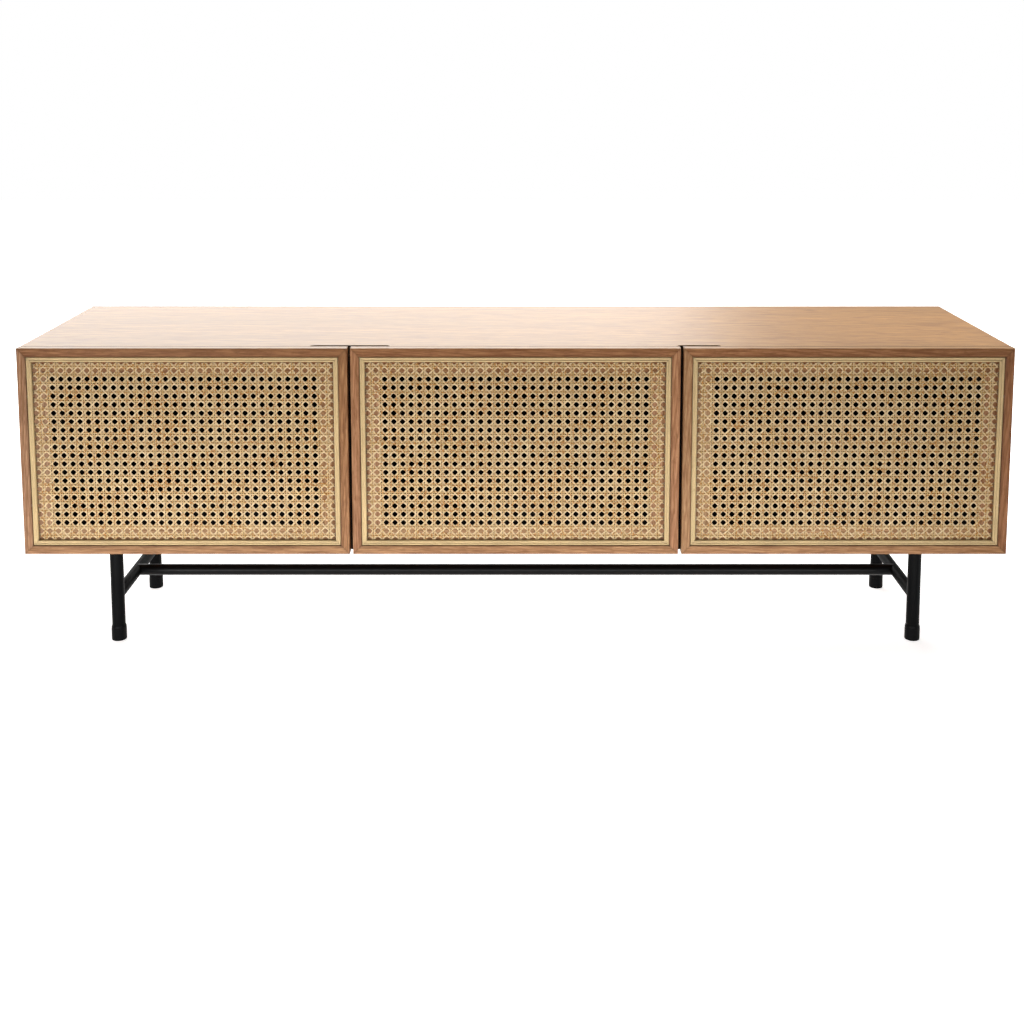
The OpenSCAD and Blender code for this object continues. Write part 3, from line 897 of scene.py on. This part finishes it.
def layer_mesh(name, bm):
    """A layer of the webbing as a mesh, with its places on the door as a second UV map."""
    panel = bm.loops.layers.uv.new("panel")
    for face in bm.faces:
        for loop in face.loops:
            loop[panel].uv = loop.vert.co.xz
    mesh = bpy.data.meshes.new(name)
    bm.to_mesh(mesh)
    bm.free()
    return mesh


def hang_layer(door, kind, layer, depth, material):
    """Copies a layer of the webbing into a door, as a piece that stands for its panel."""
    name = f"{door}_{kind}"
    low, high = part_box(door + "_cane")
    mesh = layer.copy()
    mesh.name = name
    place = Vector(((low.x + high.x) / 2, high.y - depth, (low.z + high.z) / 2))
    mesh.transform(Matrix.Translation(place))
    piece = bpy.data.objects.new(name, mesh)
    bpy.context.scene.collection.objects.link(piece)
    give(piece, material)
    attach(piece, door + "_door")
    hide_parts(door + "_cane")


class CONSOLE_OT_weave_cane(Operator):
    """Weaves the cane webbing of the three doors"""

    bl_idname = "console.weave_cane"
    bl_label = "Weave Cane"

    def execute(self, context):
        cane = context.scene.console_cane
        low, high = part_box("left_cane")
        width = high.x - low.x - 2 * WEB_INSET
        height = high.z - low.z - 2 * WEB_INSET
        # The hole columns are centred on the door and the rows lie half a pitch off it
        middle = (0.0, cane.pitch / 2)
        rng = random.Random(WANDER_SEED)
        uprights = paired_strands(cane, width, height, middle, True, rng)
        crossbands = paired_strands(cane, width, height, middle, False, rng)
        diagonals = diagonal_strands(cane, width, height, middle, rng)
        seen = [reach - BEAD_W for reach in rectangle(*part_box("left_bead"))[1]]
        paired = cane_finish("split_cane_pairs", cane, paleness=-0.8, lean=0.45, half=seen)
        slanted = cane_finish("split_cane_diagonals", cane, paleness=-0.5, lean=0.0, half=seen)
        for kind, bm, material in (
            ("cane_uprights", uprights, paired),
            ("cane_crossbands", crossbands, paired),
            ("cane_diagonals", diagonals, slanted),
        ):
            layer = layer_mesh(kind, bm)
            for door in DOORS:
                hang_layer(door, kind, layer, WEB_DEPTH * cane.thickness, material)
            bpy.data.meshes.remove(layer)
        return {"FINISHED"}


class CONSOLE_OT_finish_wood(Operator):
    """Gives the boards, door frames and beads their veneer, with painted shade and light"""

    bl_idname = "console.finish_wood"
    bl_label = "Finish Wood"

    def execute(self, context):
        wood = context.scene.console_wood
        top = wood_finish(
            "top_veneer",
            wood,
            "X",
            start=(0.3, 0.0, 0.0),
            inside=("Z", CEILING_Z + STAIN_AND_SHADE_REACH, -1),
            notched=True,
            tone=(0.93, 0.98, 0.61),
            gloss=1.2,
            ring_gap=20 * MM,
            drawn=0.3,
        )
        bottom = wood_finish(
            "bottom_veneer",
            wood,
            "X",
            start=(0.9, 0.4, 0.0),
            inside=("Z", FLOOR_Z - STAIN_AND_SHADE_REACH, 1),
        )
        sides = wood_finish(
            "side_veneer",
            wood,
            "Z",
            start=(0.0, 0.7, 0.0),
            inside=("X", INNER_X + STAIN_AND_SHADE_REACH, -1),
            tone=(0.96, 1.0, 0.86),
            ring_gap=14 * MM,
            drawn=0.45,
        )
        give(NODES["top_panel"], top)
        give(NODES["bottom_panel"], bottom)
        give(NODES["left_side_panel"], sides)
        give(NODES["right_side_panel"], sides)
        for index, door in enumerate(DOORS):
            for member, along in (
                ("top_rail", "X"),
                ("bottom_rail", "X"),
                ("hinge_stile", "Z"),
                ("free_stile", "Z"),
            ):
                node = f"{door}_{member}"
                # A member's tone, which on the rails and the left door's hinge stile is painted
                # light and shade
                tone = VENEER_AND_LIGHT_TONES.get(node, VENEER_AND_LIGHT_TONES.get(member, (1.0, 1.0, 1.0)))
                start = (1.7 * index, 0.9 * index, 1.3 * len(member))
                give(NODES[node], wood_finish(node, wood, along, start, door=door, tone=tone))
            give(NODES[door + "_bead"], bead_finish(door + "_bead", wood, door))
        return {"FINISHED"}


class CONSOLE_OT_finish_inside(Operator):
    """Stains the partitions, shelves and back panels near-black, partly as painted shade"""

    bl_idname = "console.finish_inside"
    bl_label = "Finish Inside"

    def execute(self, context):
        wood = context.scene.console_wood
        level = dark_inside_finish("dark_inside_level", wood, "X")
        upright = dark_inside_finish("dark_inside_upright", wood, "Z")
        for side in ("left", "right"):
            give(NODES[side + "_partition"], upright)
        for door in DOORS:
            give(NODES[door + "_shelf"], level)
            give(NODES[door + "_back_panel"], level)
        return {"FINISHED"}


class CONSOLE_OT_finish_metal(Operator):
    """Coats the steel frame and finishes the hinges, screws, feet and catches"""

    bl_idname = "console.finish_metal"
    bl_label = "Finish Metal"

    def execute(self, context):
        steel = context.scene.console_steel
        leg_coat = powder_finish("black_powder_coat", steel.coat, roughness=0.42, gloss=0.045)
        side_coat = powder_finish("side_stretcher_coat", steel.coat, roughness=0.5, gloss=0.02)
        long_coat = powder_finish("long_stretcher_coat", steel.coat, roughness=0.36, gloss=0.12)
        rubber = powder_finish("foot_rubber", steel.rubber, roughness=0.42, gloss=0.055)
        plastic = powder_finish("catch_plastic", steel.plastic, roughness=0.5, gloss=0.4)
        bright = plated_finish("nickel_plate", steel.bright)
        give(NODES["long_stretcher"], long_coat)
        give(NODES["door_catches"], plastic)
        for side in ("left", "right"):
            give(NODES[side + "_side_stretcher"], side_coat)
            for corner in ("front_" + side, "back_" + side):
                give(NODES[corner + "_leg"], leg_coat)
                give(NODES[corner + "_foot"], rubber)
        for name in ("shelf_pins", "leg_screws", "back_screws"):
            give(NODES[name], bright)
        for door in DOORS:
            for part in ("hinge_arms", "hinge_forks", "strike_plate"):
                give(NODES[f"{door}_{part}"], bright)
        return {"FINISHED"}


# Studio


def soft_lamp(name, place, aim, size, power, colour=(1.0, 1.0, 1.0)):
    """A rectangular lamp that the camera doesn't see."""
    data = bpy.data.lights.new(name, "AREA")
    data.shape = "RECTANGLE"
    data.size, data.size_y = size
    data.energy = power
    data.color = colour
    lamp = bpy.data.objects.new(name, data)
    lamp.location = place
    lamp.rotation_euler = (Vector(aim) - Vector(place)).to_track_quat("-Z", "Y").to_euler()
    lamp.visible_camera = False
    bpy.context.scene.collection.objects.link(lamp)


def seen_directly(tree):
    """1 for rays from the camera, a mirror or through glass, and 0 for the rest."""
    path = add_node(tree, "LightPath").outputs
    seen = calculate(tree, "MAXIMUM", path["Is Camera Ray"], path["Is Glossy Ray"])
    return calculate(tree, "MAXIMUM", seen, path["Is Transmission Ray"])


def white_floor(studio):
    """A wide pale floor that keeps the shadow and reads as white."""
    bm = bmesh.new()
    bmesh.ops.create_grid(bm, x_segments=1, y_segments=1, size=studio.floor_reach)
    mesh = bpy.data.meshes.new("studio_floor")
    bm.to_mesh(mesh)
    bm.free()
    floor = bpy.data.objects.new("studio_floor", mesh)
    bpy.context.scene.collection.objects.link(floor)
    material = bpy.data.materials.new("studio_floor")
    tree = empty_tree(material)
    paint = add_node(tree, "BsdfDiffuse", {"Color": rgba(studio.floor_colour)})
    place = object_place(tree)
    far = add_node(tree, "VectorMath", {0: place}, operation="LENGTH").outputs["Value"]
    # The glow grows to plain white between two distances from the console's middle
    growth = {
        "Value": far,
        "From Min": 1.2,
        "From Max": 2.6,
        "To Min": studio.floor_glow,
        "To Max": 1.0,
    }
    level = add_node(tree, "MapRange", growth).outputs["Result"]
    strength = calculate(tree, "MULTIPLY", seen_directly(tree), level)
    glow = add_node(tree, "Emission", {"Strength": strength})
    both = add_node(tree, "AddShader", {0: paint.outputs[0], 1: glow.outputs[0]})
    add_node(tree, "OutputMaterial", {"Surface": both.outputs[0]})
    give(floor, material)


def white_world(studio):
    """Soft light from all round, with a white background for what is seen directly."""
    world = bpy.data.worlds.new("studio")
    bpy.context.scene.world = world
    tree = empty_tree(world)
    white = rgba((1.0, 1.0, 1.0))
    ambient = add_node(tree, "Background", {"Color": white, "Strength": studio.ambient})
    backdrop = add_node(tree, "Background", {"Color": white, "Strength": studio.backdrop})
    sources = {0: seen_directly(tree), 1: ambient.outputs[0], 2: backdrop.outputs[0]}
    mixed = add_node(tree, "MixShader", sources)
    add_node(tree, "OutputWorld", {"Surface": mixed.outputs[0]})


class CONSOLE_OT_light_studio(Operator):
    """Sets up the floor, the lamps and the camera"""

    bl_idname = "console.light_studio"
    bl_label = "Light Studio"

    def execute(self, context):
        studio = context.scene.console_studio
        white_floor(studio)
        white_world(studio)
        soft_lamp(
            "window_panel",
            place=(-1.63, 3.0, 1.7),
            aim=(-0.5, 0.0, 0.55),
            size=(5.6, 1.7),
            power=studio.window_power,
            colour=(0.97, 0.97, 0.955),
        )
        soft_lamp(
            "overhead_panel",
            place=(1.1, 0.55, 2.8),
            aim=(0.6, 0.0, 0.4),
            size=(2.6, 1.8),
            power=studio.overhead_power,
        )
        soft_lamp(
            "bounce_strip",
            place=(-0.12, -0.72, 0.02),
            aim=(-0.1, -0.225, 0.22),
            size=(2.1, 0.22),
            power=studio.bounce_power,
        )
        soft_lamp(
            "side_strip",
            place=(-1.15, -1.5, 0.13),
            aim=(-0.5, -0.2, 0.1),
            size=(0.2, 0.4),
            power=studio.side_power,
        )
        data = bpy.data.cameras.new("camera")
        data.lens = studio.lens
        data.sensor_width = 36.0
        data.shift_x = studio.shift_x
        data.shift_y = studio.shift_y
        camera = bpy.data.objects.new("camera", data)
        camera.location = studio.camera_place
        camera.rotation_euler = (math.radians(90) - studio.camera_pitch, 0.0, 0.0)
        context.scene.collection.objects.link(camera)
        context.scene.camera = camera
        context.scene.view_settings.view_transform = "Standard"
        return {"FINISHED"}


class CONSOLE_PT_panel(Panel):
    """Lists the steps of dressing the console"""

    bl_idname = "CONSOLE_PT_panel"
    bl_label = "Cane Console"
    bl_space_type = "VIEW_3D"
    bl_region_type = "UI"
    bl_category = "Console"

    def draw(self, context):
        for operator in OPERATORS:
            self.layout.operator(operator.bl_idname)


SETTINGS = {
    "console_cane": CaneSettings,
    "console_wood": WoodSettings,
    "console_steel": SteelSettings,
    "console_studio": StudioSettings,
}
OPERATORS = (
    CONSOLE_OT_finish_wood,
    CONSOLE_OT_finish_inside,
    CONSOLE_OT_finish_metal,
    CONSOLE_OT_weave_cane,
    CONSOLE_OT_light_studio,
)


def register():
    for cls in (*SETTINGS.values(), *OPERATORS, CONSOLE_PT_panel):
        bpy.utils.register_class(cls)
    for name, group in SETTINGS.items():
        setattr(bpy.types.Scene, name, PointerProperty(type=group))


def unregister():
    for name in SETTINGS:
        delattr(bpy.types.Scene, name)
    for cls in (CONSOLE_PT_panel, *reversed(OPERATORS), *reversed(SETTINGS.values())):
        bpy.utils.unregister_class(cls)


def main():
    register()
    bpy.ops.console.finish_wood()
    bpy.ops.console.finish_inside()
    bpy.ops.console.finish_metal()
    bpy.ops.console.weave_cane()
    bpy.ops.console.light_studio()


if __name__ == "__main__":
    main()
